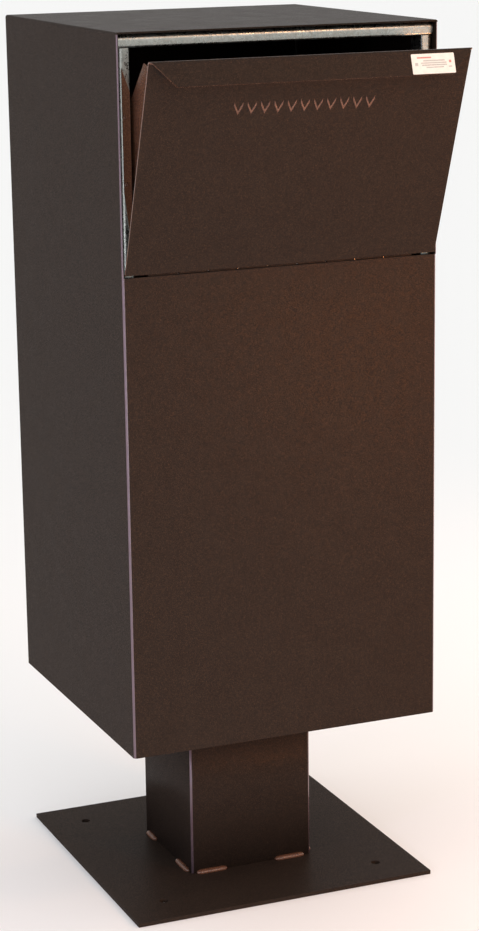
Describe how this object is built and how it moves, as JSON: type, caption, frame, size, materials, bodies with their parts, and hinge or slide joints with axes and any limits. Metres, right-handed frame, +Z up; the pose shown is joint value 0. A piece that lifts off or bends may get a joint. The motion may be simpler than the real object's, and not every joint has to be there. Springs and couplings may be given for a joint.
{
  "type": "pedestal parcel drop box",
  "caption": "Free-standing parcel drop box on a square post, with a tilting hopper door, an anti-fishing tray and a locked rear retrieval door.",
  "frame": {"origin": "centre of the base plate's underside, on the ground", "axes": "+Z up, -Y out of the hopper's front, +X to the right seen from the front"},
  "size_m": [0.381, 0.4875, 1.0208],
  "materials": {
    "bronze_powder_coat": "dark bronze fine-texture powder coat, semi-gloss",
    "galvanised_steel": "galvanised sheet with a fine spangle",
    "zinc_steel": "zinc-plated, satin",
    "bright_steel": "polished plated steel",
    "bumper_rubber": "moulded black rubber",
    "label_film": "white printed film"
  },
  "bodies": {
    "cabinet": {"back_panel": "bronze_powder_coat", "base_plate": "bronze_powder_coat", "bottom_panel": "bronze_powder_coat", "flange_bolt_front_left": "zinc_steel", "flange_bolt_front_right": "zinc_steel", "flange_bolt_rear_left": "zinc_steel", "flange_bolt_rear_right": "zinc_steel", "flange_nut_front_left": "zinc_steel", "flange_nut_front_right": "zinc_steel", "flange_nut_rear_left": "zinc_steel", "flange_nut_rear_right": "zinc_steel", "hopper_hinge_fixed_leaf": "bronze_powder_coat", "hopper_hinge_pin": "bright_steel", "hopper_sill_angle": "galvanised_steel", "left_guard_screw_lower": "bronze_powder_coat", "left_guard_screw_upper": "bronze_powder_coat", "left_jamb_channel": "galvanised_steel", "left_jamb_guard": "bronze_powder_coat", "left_side_panel": "bronze_powder_coat", "lock_strike": "zinc_steel", "lower_front_panel": "bronze_powder_coat", "opening_head_channel": "galvanised_steel", "pedestal_post": "bronze_powder_coat", "post_top_flange": "bronze_powder_coat", "rear_baffle": "bronze_powder_coat", "rear_hinge_fixed_leaf": "zinc_steel", "rear_hinge_pin": "bright_steel", "rear_stop_strip_lower": "bronze_powder_coat", "rear_stop_strip_upper": "bronze_powder_coat", "right_guard_screw_lower": "bronze_powder_coat", "right_guard_screw_upper": "bronze_powder_coat", "right_jamb_channel": "galvanised_steel", "right_jamb_guard": "bronze_powder_coat", "right_side_panel": "bronze_powder_coat", "top_panel": "bronze_powder_coat"},
    "hopper": {"hopper_door_panel": "bronze_powder_coat", "lip_label": "label_film", "hopper_tray": "bronze_powder_coat", "tray_rib": "bronze_powder_coat", "hopper_hinge_moving_leaf": "bronze_powder_coat", "left_wing": "bronze_powder_coat", "left_stop_tab": "bronze_powder_coat", "left_door_bumper": "bumper_rubber", "right_wing": "bronze_powder_coat", "right_stop_tab": "bronze_powder_coat", "right_door_bumper": "bumper_rubber"},
    "rear_door": {"rear_door_panel": "bronze_powder_coat", "rear_door_stiffener": "bronze_powder_coat", "rear_hinge_moving_leaf": "zinc_steel", "lock_body": "bright_steel", "lock_nut": "zinc_steel"},
    "lock": {"lock_plug": "bright_steel", "lock_cam": "zinc_steel", "cam_screw": "zinc_steel"}
  },
  "joints": [
    {"name": "hopper_hinge", "type": "hinge", "parent": "cabinet", "child": "hopper", "pos_m": [0, -0.1885, 0.759], "axis": [1, 0, 0], "range_deg": [-20.2, 30]},
    {"name": "rear_door_hinge", "type": "hinge", "parent": "cabinet", "child": "rear_door", "pos_m": [-0.159, 0.1948, 0.491], "axis": [0, 0, 1], "range_deg": [0, 110]},
    {"name": "lock_turn", "type": "hinge", "parent": "rear_door", "child": "lock", "pos_m": [0.13, 0.1925, 0.491], "axis": [0, -1, 0], "range_deg": [0, 90]}
  ]
}
